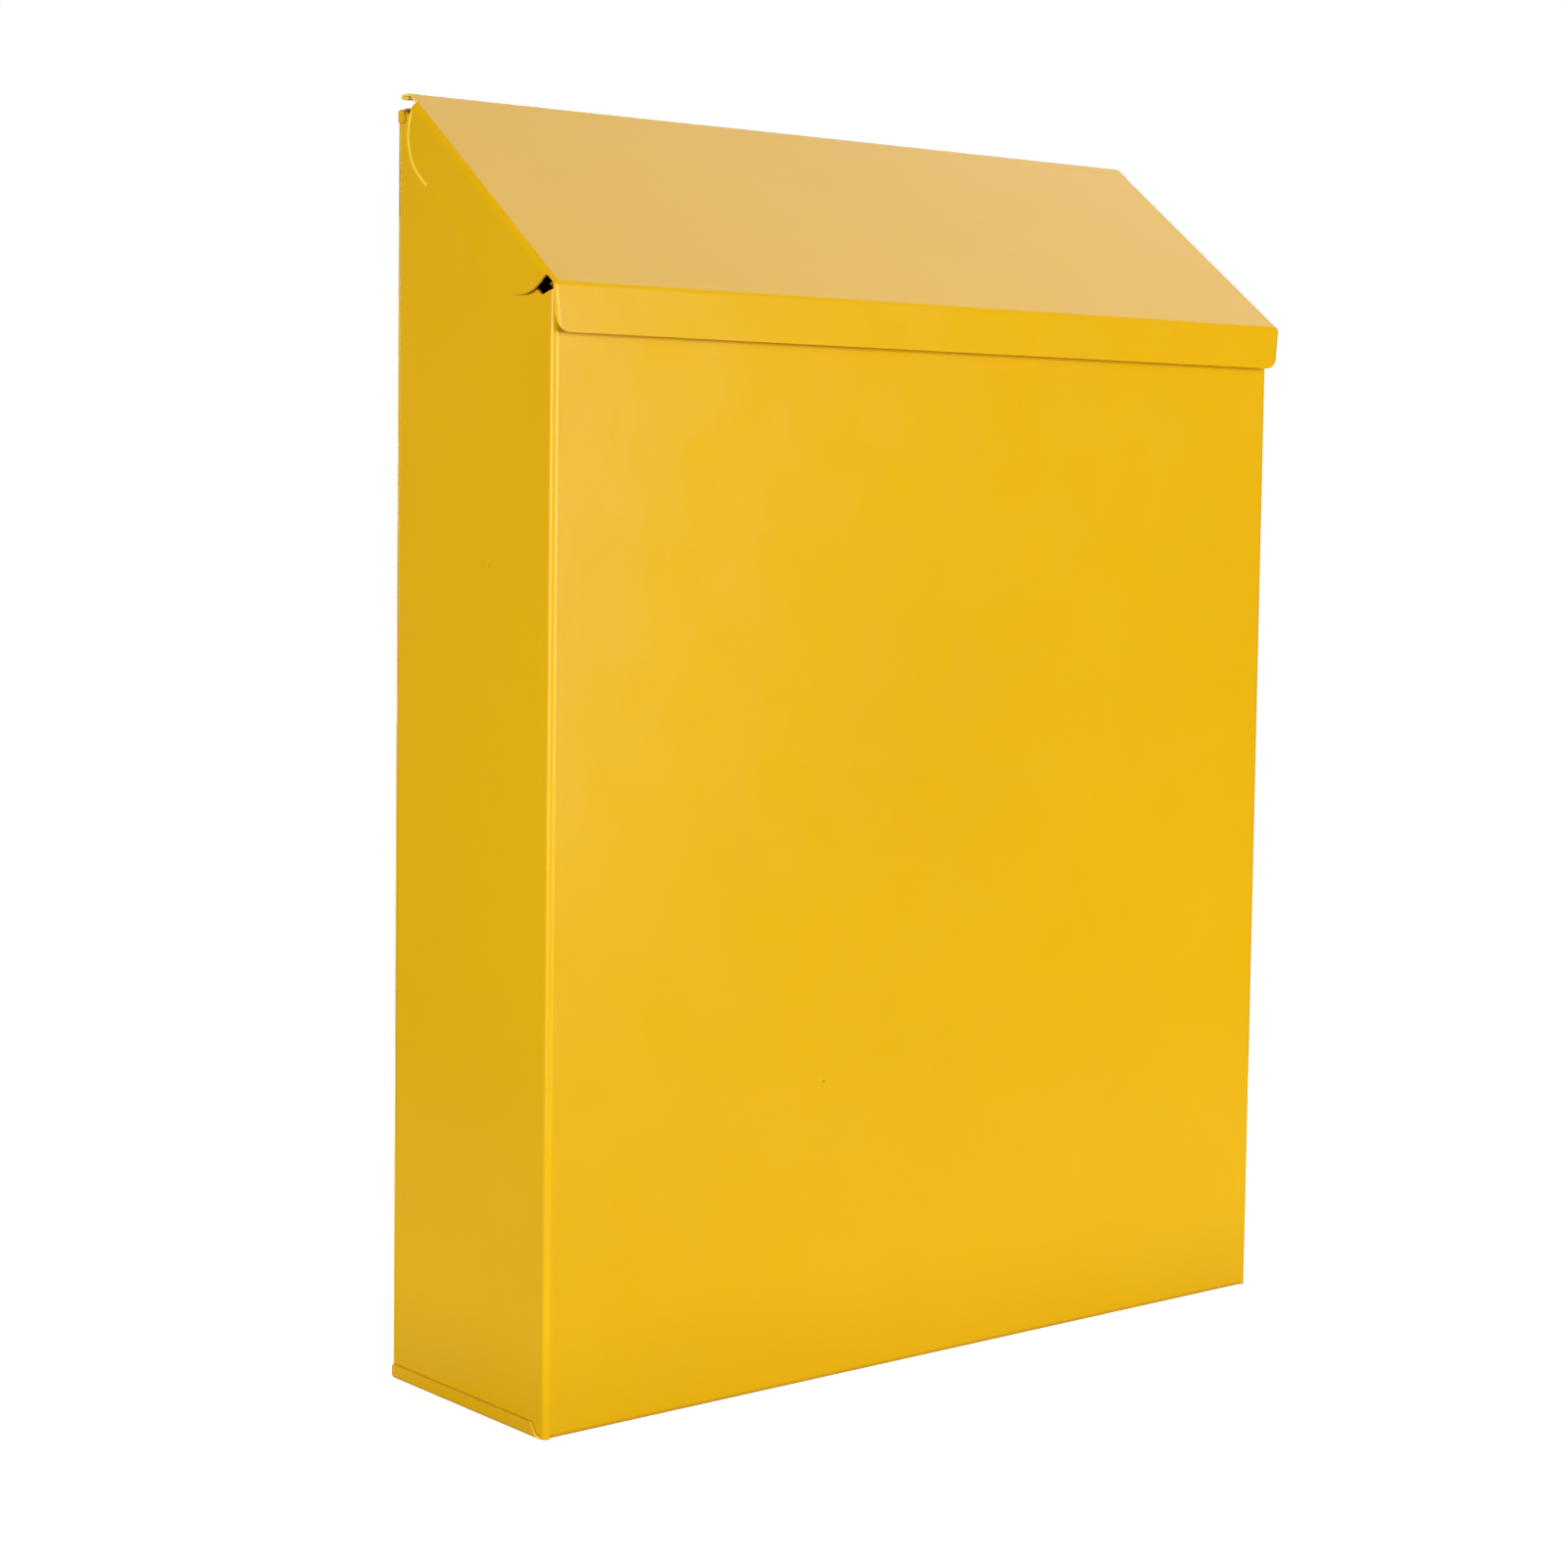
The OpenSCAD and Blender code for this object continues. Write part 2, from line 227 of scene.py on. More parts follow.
def finish_sheet(name, bm, bend, outward, body, node, material, edge=0.16):
    """Bends a blank, gives it thickness inwards and rounds its painted edges; rims and edge rounds
    take the lighter edge colour, a painted highlight.
    """
    for v in bm.verts:
        v.co = Vector(bend(v.co.x, v.co.y)) * MM
    bm.normal_update()
    outward = Vector(outward)
    outermost = max(bm.faces, key=lambda f: f.calc_center_median().dot(outward))
    if outermost.normal.dot(outward) < 0:
        bmesh.ops.reverse_faces(bm, faces=bm.faces[:])
    mesh = bpy.data.meshes.new(name)
    bm.to_mesh(mesh)
    bm.free()
    piece = bpy.data.objects.new(name, mesh)
    collection.objects.link(piece)
    sheet = piece.modifiers.new("sheet", "SOLIDIFY")
    sheet.thickness = SHEET * MM
    sheet.offset = -1
    sheet.use_even_offset = True
    sheet.use_rim = True
    # Rims and edge rounds take the lighter edge colour, a painted highlight of the lit sheet edges.
    sheet.material_offset_rim = EDGE_HIGHLIGHT_SLOT
    roll = piece.modifiers.new("edges", "BEVEL")
    roll.width = edge * MM
    roll.segments = 3
    roll.limit_method = "ANGLE"
    roll.angle_limit = math.radians(50)
    roll.use_clamp_overlap = True
    roll.miter_outer = "MITER_ARC"
    roll.material = EDGE_HIGHLIGHT_SLOT
    for face in mesh.polygons:
        face.use_smooth = True
    normals = piece.modifiers.new("normals", "WEIGHTED_NORMAL")
    normals.keep_sharp = True
    normals.weight = 80
    mesh.materials.append(material)
    mesh.materials.append(painted_edge_highlight)
    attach(piece, body)
    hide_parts(node)


def ripple(x, y, seed, size=70.0):
    """Slight unevenness of a pressed panel, from -1 to 1."""
    return noise.noise(Vector((x / size, y / size, seed)))


def fade(value, low, high, width):
    """1 inside low..high, falling to 0 at its ends over width."""
    t = max(0.0, min(1.0, min(value - low, high - value) / width))
    return t * t * (3 - 2 * t)


# ---- Materials ----
def node_tree(name):
    """A new material with its nodes and links."""
    material = bpy.data.materials.new(name)
    material.use_nodes = True
    return material, material.node_tree.nodes, material.node_tree.links


def texture(nodes, links, kind, scale, detail, rough, source):
    """A texture node fed from source."""
    tex = nodes.new(kind)
    tex.inputs["Scale"].default_value = scale
    if "Detail" in tex.inputs:
        tex.inputs["Detail"].default_value = detail
    if "Roughness" in tex.inputs:
        tex.inputs["Roughness"].default_value = rough
    links.new(source, tex.inputs["Vector"])
    return tex


def span(nodes, links, source, low, high, out_low, out_high, smooth=False):
    """Maps low..high to out_low..out_high."""
    node = nodes.new("ShaderNodeMapRange")
    node.clamp = True
    if smooth:
        node.interpolation_type = "SMOOTHSTEP"
    node.inputs["From Min"].default_value = low
    node.inputs["From Max"].default_value = high
    node.inputs["To Min"].default_value = out_low
    node.inputs["To Max"].default_value = out_high
    links.new(source, node.inputs["Value"])
    return node.outputs["Result"]


def blend_colour(nodes, links, factor, low, high):
    """Mixes two colours; each argument is a value or a socket."""
    node = nodes.new("ShaderNodeMix")
    node.data_type = "RGBA"
    for socket, value in (("Factor", factor), ("A", low), ("B", high)):
        slot = [i for i in node.inputs if i.name == socket and i.type in ("VALUE", "RGBA")]
        slot = [i for i in slot if (i.type == "RGBA") == (socket != "Factor")][0]
        if isinstance(value, (float, int)):
            slot.default_value = value
        elif isinstance(value, tuple):
            slot.default_value = (*value, 1.0)
        else:
            links.new(value, slot)
    return [o for o in node.outputs if o.type == "RGBA"][0]


def bumps(nodes, links, height, strength, distance, under=None):
    """A bump node's normal, laid over the normal under it."""
    node = nodes.new("ShaderNodeBump")
    node.inputs["Strength"].default_value = strength
    node.inputs["Distance"].default_value = distance
    links.new(height, node.inputs["Height"])
    if under is not None:
        links.new(under, node.inputs["Normal"])
    return node.outputs["Normal"]


def powder_coat(name, deep, light):
    """Semi-gloss yellow powder coat: orange peel, cloudy tone and trapped specks."""
    material, nodes, links = node_tree(name)
    shader = nodes["Principled BSDF"]
    place = nodes.new("ShaderNodeTexCoord").outputs["Object"]
    broad = texture(nodes, links, "ShaderNodeTexNoise", 9.0, 3.0, 0.55, place)
    cloud = span(nodes, links, broad.outputs["Fac"], 0.3, 0.7, 0.0, 1.0)
    colour = blend_colour(nodes, links, cloud, deep, light)
    specks = texture(nodes, links, "ShaderNodeTexVoronoi", 60.0, 0.0, 0.0, place)
    specks.inputs["Randomness"].default_value = 1.0
    keep = span(nodes, links, specks.outputs["Color"], 0.34, 0.36, 0.0, 1.0)
    near = span(nodes, links, specks.outputs["Distance"], 0.010, 0.030, 1.0, 0.0, True)
    both = nodes.new("ShaderNodeMath")
    both.operation = "MULTIPLY"
    links.new(keep, both.inputs[0])
    links.new(near, both.inputs[1])
    colour = blend_colour(nodes, links, both.outputs[0], colour, PAINT_SPECK)
    links.new(colour, shader.inputs["Base Color"])
    grain = texture(nodes, links, "ShaderNodeTexNoise", 60.0, 2.0, 0.5, place)
    rough = span(nodes, links, grain.outputs["Fac"], 0.3, 0.7, 0.21, 0.27)
    links.new(rough, shader.inputs["Roughness"])
    shader.inputs["Specular IOR Level"].default_value = 0.28
    peel = texture(nodes, links, "ShaderNodeTexNoise", 520.0, 2.0, 0.5, place)
    swell = texture(nodes, links, "ShaderNodeTexNoise", 120.0, 1.0, 0.5, place)
    relief = None
    for height, strength, distance in ((peel.outputs["Fac"], 0.10, 0.0002),
                                       (swell.outputs["Fac"], 0.10, 0.0006),
                                       (both.outputs[0], 0.5, 0.0002)):
        relief = bumps(nodes, links, height, strength, distance, relief)
    links.new(relief, shader.inputs["Normal"])
    return material


def zinc_steel():
    """Dull zinc-plated steel with faint drawing lines along the pin."""
    material, nodes, links = node_tree("zinc_steel")
    shader = nodes["Principled BSDF"]
    place = nodes.new("ShaderNodeTexCoord").outputs["Object"]
    stretch = nodes.new("ShaderNodeMapping")
    stretch.inputs["Scale"].default_value = (0.05, 1.0, 1.0)
    links.new(place, stretch.inputs["Vector"])
    drawn = stretch.outputs["Vector"]
    lines = texture(nodes, links, "ShaderNodeTexNoise", 2500.0, 3.0, 0.6, drawn)
    stain = texture(nodes, links, "ShaderNodeTexNoise", 300.0, 4.0, 0.6, place)
    tone = span(nodes, links, stain.outputs["Fac"], 0.3, 0.7, 0.0, 1.0)
    colour = blend_colour(nodes, links, tone, (0.42, 0.42, 0.40), (0.62, 0.62, 0.61))
    links.new(colour, shader.inputs["Base Color"])
    rough = span(nodes, links, lines.outputs["Fac"], 0.3, 0.7, 0.32, 0.5)
    links.new(rough, shader.inputs["Roughness"])
    shader.inputs["Metallic"].default_value = 1.0
    links.new(bumps(nodes, links, lines.outputs["Fac"], 0.15, 0.0001), shader.inputs["Normal"])
    return material


PAINT_DEEP = (0.775, 0.428, 0.0004)
PAINT_LIGHT = (0.815, 0.456, 0.0006)
PAINT_SPECK = (0.48, 0.25, 0.002)
# Lighter yellow for sheet edges: a painted highlight standing in for light caught on the rounded
# edges.
EDGE_HIGHLIGHT_DEEP = (0.94, 0.63, 0.07)
EDGE_HIGHLIGHT_LIGHT = (0.98, 0.69, 0.10)
paint = powder_coat("yellow_powder_coat", PAINT_DEEP, PAINT_LIGHT)
# Edge material: the coat with its colour lifted as a painted highlight.
painted_edge_highlight = powder_coat("yellow_coat_painted_edge_highlight", EDGE_HIGHLIGHT_DEEP, EDGE_HIGHLIGHT_LIGHT)
steel = zinc_steel()


# ---- Front shell ----
def front_shell():
    """The body: front, sides and rear returns across; top return, front, floor and upturn along."""
    side = Folds((0, Y_FRONT), 0, [
        ("flat", HALF_W - FOLD), ("fold", FOLD, 90), ("flat", Y_SEAT - Y_FRONT - FOLD - REAR_FOLD),
        ("fold", REAR_FOLD, 90), ("flat", RETURN_W - REAR_FOLD),
    ])
    dip, reach = 20.0, 4.5  # degrees by which the top return dips, and its flat length
    inwards = Vector((math.cos(math.radians(dip)), -math.sin(math.radians(dip))))
    tip = Vector((Y_FRONT + TIGHT, FRONT_TOP - TIGHT))
    tip += Vector((-inwards.y, inwards.x)) * TIGHT + inwards * reach
    section = Folds(tip, 180 - dip, [
        ("flat", reach), ("fold", TIGHT, 90 + dip), ("flat", FRONT_TOP - TIGHT - FOLD),
        ("fold", FOLD, 90), ("flat", Y_SEAT - Y_FRONT - 2 * FOLD), ("fold", FOLD, 90),
        ("flat", UPTURN_H - FOLD),
    ])
    lap = flap(LAP_X, TIGHT, LAP_H)
    flat_x = HALF_W - FOLD
    s_top = section.parts[2][0]
    s_foot = section.parts[2][1]
    s_floor = section.parts[4][0]
    s_end = section.length

    def at_z(z):
        """Blank distance of a height on the front or a side."""
        return s_top + FRONT_TOP - TIGHT - z

    def at_y(y):
        """Blank distance of a depth on the floor."""
        return s_floor + y - (Y_FRONT + FOLD)

    def side_a(y):
        """Blank distance across of a depth on a side."""
        return side.parts[2][0] + y - (Y_FRONT + FOLD)

    return_a = side.parts[3][0] + 0.75
    slit = 0.04  # half the cut between a lap and the foot of a side
    upturn_x = 102.0
    half = [
        # top return, the notch beside it, and the side's sloping and level top edges
        (111.4, 0.0), (112.4, 1.0), (112.4, at_z(SIDE_FOOT + 0.4)), (112.8, at_z(SIDE_FOOT)),
        (flat_x, at_z(SIDE_FOOT)), (side_a(Y_FRONT + 3.6), at_z(SIDE_FOOT - 1.45)),
        (side_a(Y_FRONT + 4.6), at_z(SIDE_FOOT - 1.35)),
        (side_a(28.4), at_z(SIDE_TOP - 0.25)), (side_a(29.2), at_z(SIDE_TOP)),
        # rear return
        (return_a, at_z(SIDE_TOP)), (return_a, at_z(SIDE_TOP - TIGHT)),
        (side.length - 1, at_z(SIDE_TOP - TIGHT)), (side.length, at_z(SIDE_TOP - TIGHT - 1)),
        (side.length, at_z(2.0)), (side.length - 1, at_z(1.0)),
        # foot of the side, and the slit that parts it from the lap
        (side_a(Y_FRONT + 1.7), at_z(1.0)), (side_a(Y_FRONT + 1.5), at_z(0.12)),
        (flat_x + slit, at_z(0.12)), (flat_x + slit, s_foot - 0.3), (flat_x - slit, s_foot - 0.3),
        # lap
        (flat_x - slit, at_y(Y_FRONT + 1.75)), (lap.parts[1][0], at_y(Y_FRONT + 1.75)),
        (lap.length, at_y(-25.2)), (lap.length, at_y(Y_WALL - 1.3)),
        (lap.length - 0.3, at_y(Y_WALL - 1)), (flat_x - 1, at_y(Y_WALL - 1)),
        # upturned rear flange of the floor
        (flat_x - 1, at_y(30.0)), (upturn_x, at_y(30.0)), (upturn_x, s_end - 1.5), (100.5, s_end),
    ]
    across = side.lines(6.0, FOLD_STEP) + lap.lines(NO_CUTS, FOLD_STEP)[1:]
    slits = [flat_x + slit, -flat_x - slit, flat_x - slit, slit - flat_x]
    x_lines = sorted(set([round(v, 4) for v in both_ways(across)] + slits))
    s_lines = section.lines(6.0, FOLD_STEP)
    wide = side.parts[0][1]
    side_low, side_high = side.parts[2][:2]

    def bend(x, s):
        sign = -1.0 if x < 0 else 1.0
        a = abs(x)
        beside_lap = a > flat_x - slit and s > s_foot and s >= at_y(Y_FRONT + 1.0)
        on_wrap = a > flat_x and s < at_z(0.0) and not beside_lap
        if s_top <= s <= s_foot or on_wrap:
            z = FRONT_TOP - TIGHT - (s - s_top)
            here, out = side(a)
            push = 0.0
            if a < wide:
                uneven = ripple(x, z, 3.1) * fade(a, -wide, wide, 30) * fade(z, 4, 252, 30)
                hollow = fade(a, -wide, wide, 90) * fade(z, 4, 252, 90)
                push = 0.16 * uneven - 0.10 * hollow
            elif side_low < a < side_high:
                uneven = ripple(a, z, 7.7 * sign, 40.0)
                push = 0.10 * uneven * fade(a, side_low, side_high, 16) * fade(z, 6, 250, 25)
            here = here + out * push
            return sign * here.x, here.y, z
        here, out = section(s)
        if s_floor - 0.5 <= s and a > upturn_x + 0.5:
            if s > s_floor:
                here = Vector((Y_FRONT + FOLD + s - s_floor, 0.0))
            up = lap(a)[0]
            return sign * up.x, here.x, here.y + up.y
        return x, here.x, here.y

    bm = blank([mirrored(half)], x_lines, s_lines)
    finish_sheet("mailbox_shell", bm, bend, (0, -1, 0), "box", "front_shell", paint)


front_shell()


# ---- Back panel ----
def pierce(bm, hole_x, hole_s):
    """Cuts a round hole into a blank and joins its edge to a square around it."""
    reach = 4.2
    for axis, middle in ((0, hole_x), (1, hole_s)):
        cut(bm, axis, middle - reach)
        cut(bm, axis, middle + reach)
    inside = [f for f in bm.faces if abs(f.calc_center_median().x - hole_x) < reach
              and abs(f.calc_center_median().y - hole_s) < reach]
    region = set(inside)
    rim = [e for f in inside for e in f.edges if sum(g in region for g in e.link_faces) == 1]
    bmesh.ops.delete(bm, geom=inside, context="FACES")

    def around(v):
        return math.atan2(v.co.y - hole_s, v.co.x - hole_x)

    square = sorted({v for e in rim for v in e.verts}, key=around)
    start = around(square[0])
    angles = [around(v) for v in square] + [start + math.tau]
    turns = [start + math.tau * k / HOLE_SIDES for k in range(HOLE_SIDES)]
    ring = [bm.verts.new((hole_x + HOLE_R * math.cos(a), hole_s + HOLE_R * math.sin(a), 0))
            for a in turns]
    i = j = 0
    while i < len(square) or j < HOLE_SIDES:
        halfway = (angles[i] + angles[i + 1]) / 2 if i < len(square) else math.inf
        if j >= HOLE_SIDES or halfway <= turns[j]:
            bm.faces.new((square[i], square[(i + 1) % len(square)], ring[j % HOLE_SIDES]))
            i += 1
        else:
            bm.faces.new((square[i % len(square)], ring[(j + 1) % HOLE_SIDES], ring[j]))
            j += 1


def back_panel():
    """The rear sheet: full width, with a flange along the top that folds down over the sides."""
    foot = 1.6
    half = HALF_W - FOLD - 0.4
    section = Folds((Y_WALL, foot), 90, [
        ("flat", BODY_TOP - TIGHT - foot), ("fold", TIGHT, 90), ("flat", 3.5 - TIGHT),
    ])
    tab = flap(LAP_X, TIGHT, 3.3)
    s_fold = section.parts[1][0]
    s_flange = section.parts[2][0]
    s_end = section.length
    s_notch = s_fold - 0.9
    cut_low, cut_high = HINGE_X - CUT_X, HINGE_X + CUT_X
    bevel = 0.5
    right = [
        # side edge of the panel, up to the notch under the flange
        (HALF_W - 0.9, 0.0), (HALF_W - 0.3, 0.6), (HALF_W - 0.3, s_fold - TIGHT - 0.3),
        (HALF_W - 0.6, s_fold - TIGHT), (half, s_fold - TIGHT),
        # end tab of the flange
        (half, s_flange + 0.02), (tab.parts[1][0], s_flange + 0.02),
        (tab.length - 0.4, s_flange + 0.02), (tab.length, s_flange + 0.4),
        (tab.length, s_end - 0.4), (tab.length - 0.4, s_end),
        # cut-out around the hinge
        (cut_high + bevel, s_end), (cut_high, s_end - bevel), (cut_high, s_notch + bevel),
        (cut_high - bevel, s_notch), (cut_low + bevel, s_notch), (cut_low, s_notch + bevel),
        (cut_low, s_end - bevel), (cut_low - bevel, s_end),
    ]
    x_lines = spread(-half, half, 7.5) + both_ways(tab.lines(NO_CUTS, FOLD_STEP)[1:] + [half + 0.5])
    bm = blank([mirrored(right)], sorted(x_lines), section.lines(7.5, FOLD_STEP))
    for hole_x in (-HOLE_X, HOLE_X):
        pierce(bm, hole_x, LID_TOP - HOLE_DROP - foot)
    bmesh.ops.recalc_face_normals(bm, faces=bm.faces[:])

    def bend(x, s):
        y, z = section(s)[0]
        if s < s_fold:
            uneven = ripple(x, z, 5.3) - 1
            return x, y + 0.12 * uneven * fade(x, -half, half, 40) * fade(z, 4, 292, 40), z
        sign, a = (-1.0, -x) if x < 0 else (1.0, x)
        if s > s_flange and a > half:
            up = tab(a)[0]
            return sign * up.x, y, z - up.y
        return x, y, z

    finish_sheet("mailbox_back", bm, bend, (0, 1, 0), "box", "back_panel", paint)


back_panel()


# ---- Lid ----
def lid():
    """Hem, top strip, slope and lip along; the side flanges and the curled lip ends across."""
    fall = Vector((RIDGE_Y - (Y_FRONT + TIGHT), LID_TOP - FRONT_TOP + TIGHT))
    gap = 0.3
    slope = math.degrees(math.atan2(fall.y, fall.x)
                         - math.asin((TIGHT + gap + SHEET) / fall.length))
    turn = math.radians(slope)
    slope_l = (RIDGE_Y - lid_low.y) / math.cos(turn)
    front_turn = 90 - slope
    ridge_cut = FOLD * math.tan(turn / 2)
    front_cut = FOLD * math.tan(math.radians(front_turn) / 2)
    section = Folds((AXIS_Y - HEM_W, LID_TOP - 2 * HEM_R), 0, [
        ("flat", HEM_W - HEM_R), ("fold", HEM_R, 180),
        ("flat", AXIS_Y - HEM_R - RIDGE_Y - ridge_cut),
        ("fold", FOLD, slope), ("flat", slope_l - ridge_cut - front_cut),
        ("fold", FOLD, front_turn), ("flat", LIP_H - front_cut),
    ])
    s_hem = section.parts[1][0]
    s_slope = section.parts[4][0] - ridge_cut
    s_front = section.parts[5][0]
    s_lip = section.parts[6][0]
    s_end = section.length

    def down(u):
        """Blank distance of a point u down the slope from the ridge's corner."""
        return s_slope + u

    rim_w = 0.6  # width of the strip along the flange's edge that is painted lighter as a painted highlight
    side = flap(LID_HALF, FOLD, FLANK_H)
    edge = side.parts[1][0]
    corner_x = edge + arc(FOLD, 90) - FOLD  # blank distance of the flange's square corner
    skirt = side.length
    rear, front = 3.8, slope_l - 4.0  # ends of the flange down the slope
    middle = LID_HALF - 1.2

    curl_r, curl_turn = 1.4, 42.0
    curl_x = LID_HALF - 0.25 - curl_r * math.sin(math.radians(curl_turn))
    band = Folds((0, 0), 0, [("flat", curl_x), ("fold", curl_r, curl_turn), ("flat", 0.1)])
    corner = 3.9  # radius of the lip's lower corners

    centre = (corner_x, down(rear + FLANK_H))
    rear_arc = quarter_arc(centre, FLANK_H, 12)
    front_arc = [(x, 2 * down(0) + rear + front - s) for x, s in reversed(rear_arc)]
    rear_arc = [(edge + 0.35, down(rear) - 0.35), (edge + 0.6, down(rear))] + rear_arc[1:]
    inner_arc = quarter_arc(centre, FLANK_H - rim_w, 12, 2) + [(skirt - rim_w, front_arc[0][1])]
    strip = rear_arc[2:] + front_arc[:2] + inner_arc[::-1]
    round_end = quarter_arc((band.length - corner, s_end - corner), corner, 8)
    lip_arc = [(x, 2 * (s_end - corner) - s) for x, s in reversed(round_end)]
    right = [
        (middle, 0.0), (middle, down(rear) - 0.9), (middle + 0.25, down(rear) - 0.5),
        *rear_arc[:3], *inner_arc, *front_arc[1:-2],
        # relief between the flange and the lip
        (edge + 1.9, down(front)), (edge + 1.55, down(front) + 0.35), (edge + 1.5, s_front),
        (band.length, s_lip - 0.2), *lip_arc,
    ]
    bends = side.lines(NO_CUTS, FOLD_STEP)[1:-1] + band.lines(NO_CUTS, CURL_STEP)[1:-1]
    flange = spread(edge + arc(FOLD, 90), skirt, 2.0)[:-1]
    xs = spread(-edge, edge, 6.0) + both_ways(bends + flange)
    xs = sorted(set(round(v, 4) for v in xs))
    other_strip = [(-x, s) for x, s in reversed(strip)]
    bm = blank([mirrored(right), strip, other_strip], xs, section.lines(5.0, FOLD_STEP))

    def middle_of(face):
        return abs(face.calc_center_median().x), face.calc_center_median().y

    def inset(x, s):
        """Distance of a blank point on the flange from the flange's rear or lower edge."""
        return FLANK_H - math.hypot(max(0.0, down(rear + FLANK_H) - s), x - corner_x)

    gaps = []
    for face in bm.faces:
        x, s = middle_of(face)
        if s < s_hem + arc(HEM_R, 90) and HINGE_X - CUT_X < x < HINGE_X + CUT_X:
            gaps.append(face)
    bmesh.ops.delete(bm, geom=gaps, context="FACES")
    # A thin strip along the flange's rear arc takes the lighter edge colour: a painted highlight of
    # the lit sheet edge.
    for face in bm.faces:
        x, s = middle_of(face)
        along_arc = x > corner_x + 1.5 and down(rear) < s < down(rear + FLANK_H + 2)
        if along_arc and inset(x, s) < rim_w:
            face.material_index = EDGE_HIGHLIGHT_SLOT

    across_dir = Vector((0, -math.cos(turn), -math.sin(turn)))
    in_dir = Vector((0, math.sin(turn), -math.cos(turn)))
    ridge = Vector((0, RIDGE_Y, LID_TOP))

    set_in = 0.25  # how far the flanges stand inside the CAD ones
    lip_lean = 0.9  # how far the ends of the lip lean in at its lower edge

    def bend(x, s):
        sign, a = (-1.0, -x) if x < 0 else (1.0, x)
        here, out = section(s)
        u = s - s_slope
        if rear - 0.2 < u < front + 0.2 and a > edge:
            place = side(a)[0]
            depth = place.y
            flare = set_in * fade(u, front - 14, front + 14, 14) * (depth / FLANK_H)
            from_edge = FLANK_H - math.hypot(max(0.0, rear + FLANK_H - u), depth)
            flare = max(flare, 0.22 * (1 - from_edge / rim_w) * fade(u, -9, front - 6, 9))
            point = ridge + across_dir * u + in_dir * depth
            return sign * (place.x - set_in + flare), point.y, point.z
        if u > front + 0.2 and a > min(edge, curl_x):
            lift = max(0.0, min(1.0, (s - s_front) / (s_lip - s_front)))
            place = side(a)[0].lerp(band(a)[0], lift)
            lean = lip_lean * max(0.0, (s - s_lip)) / (s_end - s_lip)
            point = here - out * place.y
            return sign * (min(place.x - 0.2 * (1 - lift), LID_HALF) - lean), point.x, point.y
        if s > s_lip:
            lean = lip_lean * (s - s_lip) / (s_end - s_lip) * (a / LID_HALF) ** 8
            return sign * (a - lean), here.x, here.y
        if section.parts[4][0] < s < s_front:
            uneven = ripple(x, s, 1.7) * fade(a, -edge, edge, 25)
            here = here + out * (0.12 * uneven * fade(s, section.parts[4][0], s_front, 14))
        return x, here.x, here.y

    finish_sheet("mailbox_lid", bm, bend, (0, -0.6, 0.8), "lid", "lid", paint, edge=0.25)


lid()


# ---- Hinges ----
hinge_coats = (("hinge_body_leaf", paint), ("hinge_lid_leaf", paint), ("hinge_pin", steel))
for hand in ("left", "right"):
    for piece, coat in hinge_coats:
        leaf = bpy.data.objects[f"{hand}_{piece}"]
        for slot in leaf.material_slots:
            slot.material = coat
        if not leaf.material_slots:
            leaf.data.materials.append(coat)


# ---- Studio: a pale round table under soft boxes, in a dim room with a white backdrop ----
def table_white():
    """White to the camera, and a plain grey to every other ray."""
    material, nodes, links = node_tree("table_white")
    shader = nodes["Principled BSDF"]
    shader.inputs["Base Color"].default_value = (0.5, 0.5, 0.5, 1)
    shader.inputs["Roughness"].default_value = 0.9
    shader.inputs["Specular IOR Level"].default_value = 0.1
    path = nodes.new("ShaderNodeLightPath")
    glow = nodes.new("ShaderNodeMath")
    glow.operation = "MULTIPLY"
    glow.inputs[1].default_value = 0.87
    links.new(path.outputs["Is Camera Ray"], glow.inputs[0])
    shader.inputs["Emission Color"].default_value = (1, 1, 1, 1)
    links.new(glow.outputs[0], shader.inputs["Emission Strength"])
    return material


def table(radius):
    """The round floor under the part."""
    bm = bmesh.new()
    bmesh.ops.create_circle(bm, cap_ends=True, radius=radius, segments=96)
    mesh = bpy.data.meshes.new("table")
    bm.to_mesh(mesh)
    bm.free()
    mesh.materials.append(table_white())
    piece = bpy.data.objects.new("table", mesh)
    collection.objects.link(piece)
    piece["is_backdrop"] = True


def softbox(name, place, aim, size, power, colour=(1.0, 1.0, 1.0)):
    """A rectangular area light, turned towards aim."""
    data = bpy.data.lights.new(name, "AREA")
    data.shape = "RECTANGLE"
    data.size, data.size_y = size
    data.energy = power
    data.color = colour
    lamp = bpy.data.objects.new(name, data)
    lamp.location = place
    lamp.rotation_euler = (Vector(aim) - Vector(place)).to_track_quat("-Z", "Y").to_euler()
    collection.objects.link(lamp)
    lamp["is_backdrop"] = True


table(0.42)
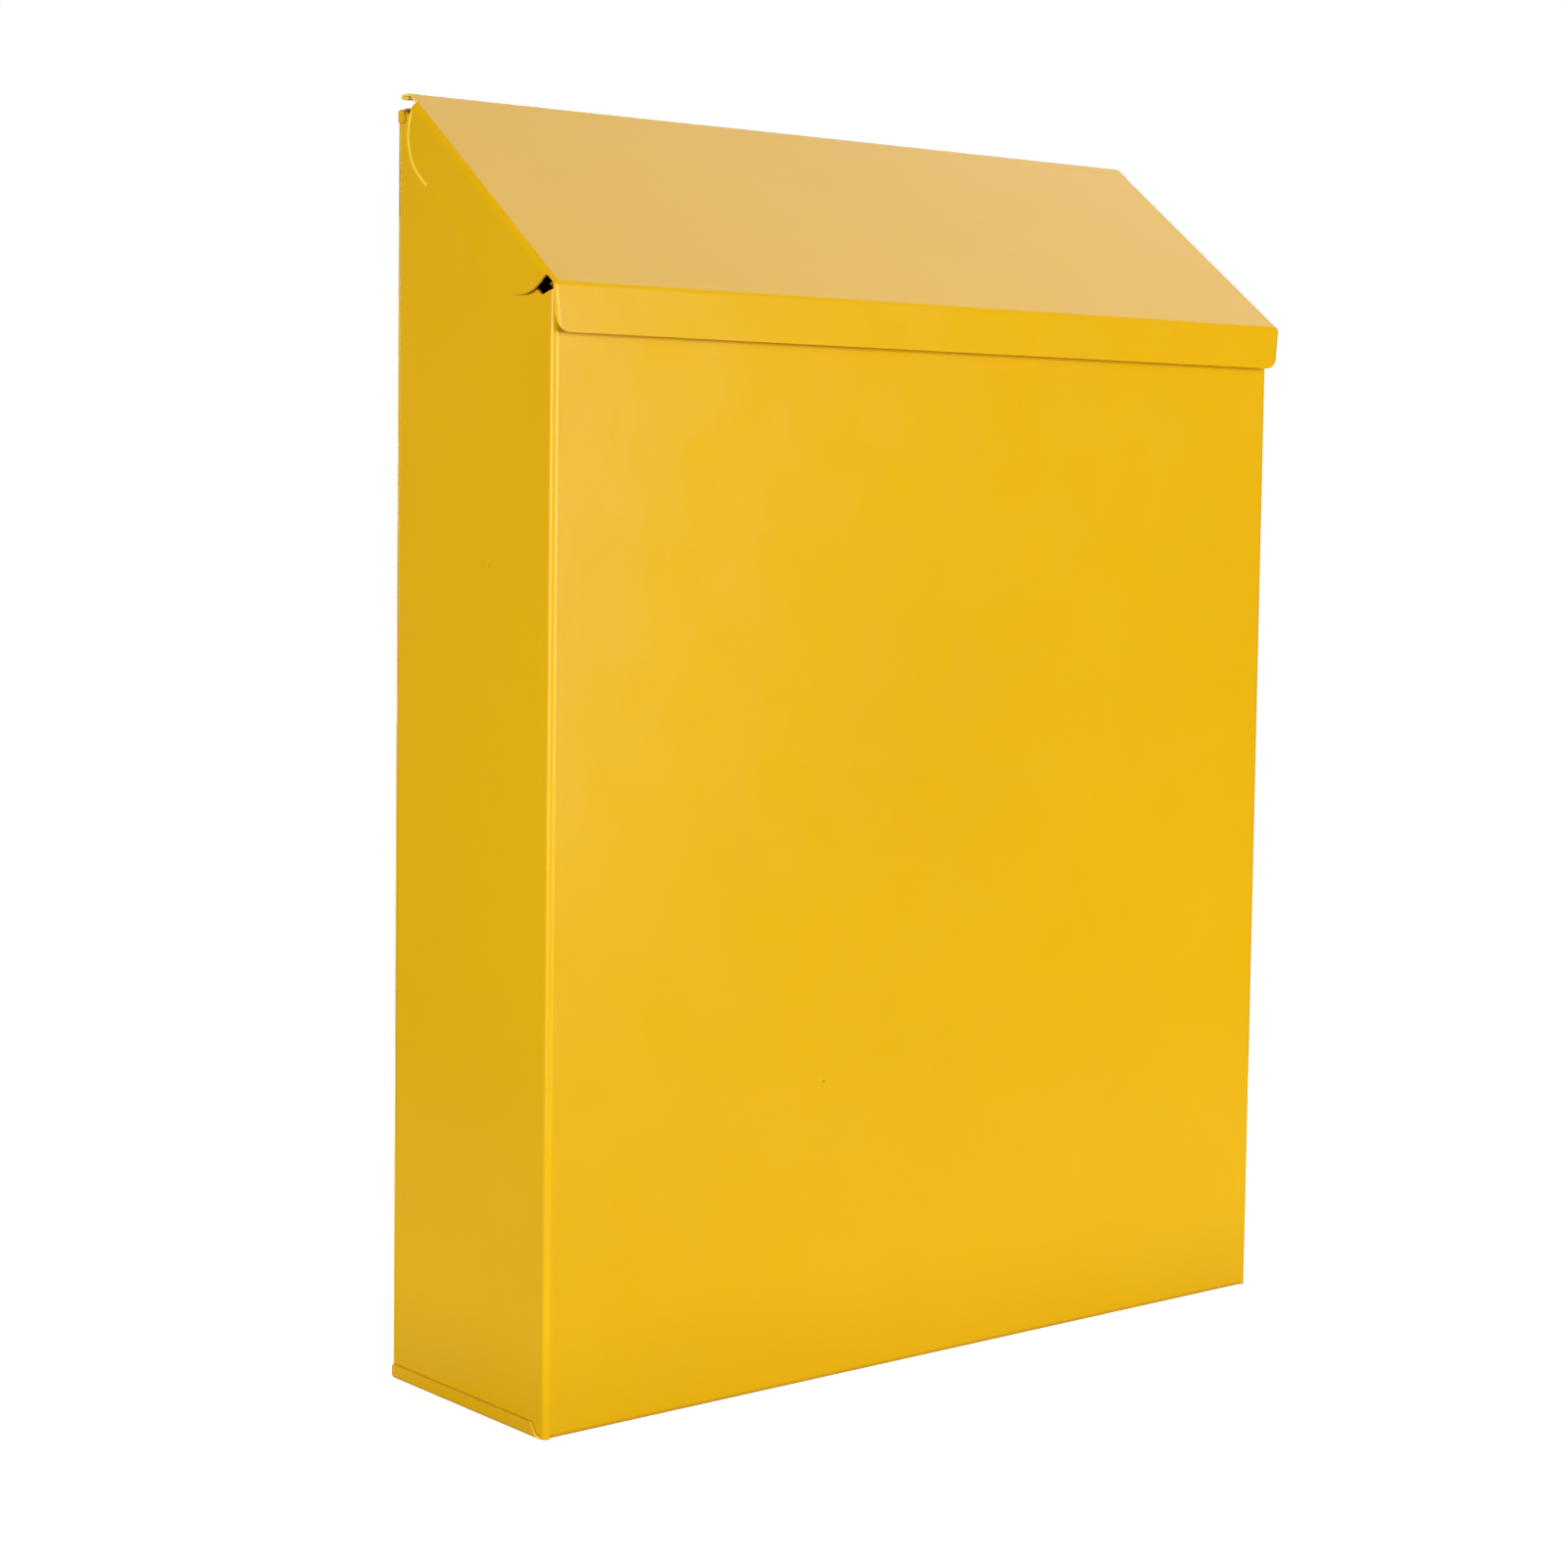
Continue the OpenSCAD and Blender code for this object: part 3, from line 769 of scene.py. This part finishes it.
# name, place, aim, size in metres, power in watts, colour
softbox("main", (0.55, -2.4, 0.4), (0, 0, 0.15), (1.5, 1.1), 48.5)
softbox("left", (-2.7, -0.75, 0.35), (0, 0, 0.15), (1.5, 1.1), 64, (0.985, 1.0, 0.97))
softbox("overhead", (0.9, 0.25, 1.35), (0, 0, 0.2), (1.3, 1.3), 7.8)
softbox("window", (0.95, -1.6, 0.56), (-0.05, 0, 0.2), (0.35, 0.45), 0.1)
softbox("back_fill", (1.0, 2.2, 0.7), (0, 0, 0.15), (1.2, 1.2), 26)
softbox("rim", (-0.3, 1.8, 0.35), (-0.1, 0, 0.2), (0.4, 0.6), 2.4)

world = bpy.data.worlds.new("dim_room")
scene.world = world
world.use_nodes = True
sky = world.node_tree
room = sky.nodes["Background"]
room.inputs["Color"].default_value = (1, 1, 1, 1)
room.inputs["Strength"].default_value = 0.12
backdrop = sky.nodes.new("ShaderNodeBackground")
backdrop.inputs["Color"].default_value = (1, 1, 1, 1)
backdrop.inputs["Strength"].default_value = 1.0
seen = sky.nodes.new("ShaderNodeLightPath")
either = sky.nodes.new("ShaderNodeMixShader")
sky.links.new(seen.outputs["Is Camera Ray"], either.inputs["Fac"])
sky.links.new(room.outputs[0], either.inputs[1])
sky.links.new(backdrop.outputs[0], either.inputs[2])
sky.links.new(either.outputs[0], sky.nodes["World Output"].inputs["Surface"])

# ---- Camera ----
camera_data = bpy.data.cameras.new("camera")
camera = bpy.data.objects.new("camera", camera_data)
collection.objects.link(camera)
camera_data.sensor_width = 36.0
camera_data.lens = 70.37
camera_data.shift_x = 0.0403
camera_data.shift_y = -0.0561
right_axis, up_axis = Vector((0.781, -0.6244, 0.0116)), Vector((0.0315, 0.058, 0.9978))
right_axis.normalize()
up_axis = (up_axis - right_axis * up_axis.dot(right_axis)).normalized()
back_axis = right_axis.cross(up_axis)
camera.matrix_world = Matrix.Translation(Vector((-0.5016, -0.57195, 0.2088))) @ Matrix((
    (right_axis.x, up_axis.x, back_axis.x), (right_axis.y, up_axis.y, back_axis.y),
    (right_axis.z, up_axis.z, back_axis.z))).to_4x4()
camera_data.clip_end = 20
scene.camera = camera
scene.view_settings.view_transform = "Standard"
scene.view_settings.look = "None"

bounds_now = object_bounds()


def plain(value):
    """Turns vectors into lists, for json."""
    if isinstance(value, dict):
        return {key: plain(item) for key, item in value.items()}
    if isinstance(value, (list, tuple, Vector)):
        return [plain(item) for item in value]
    return value


{"cad": plain(cad_bounds), "scene": plain(bounds_now)}
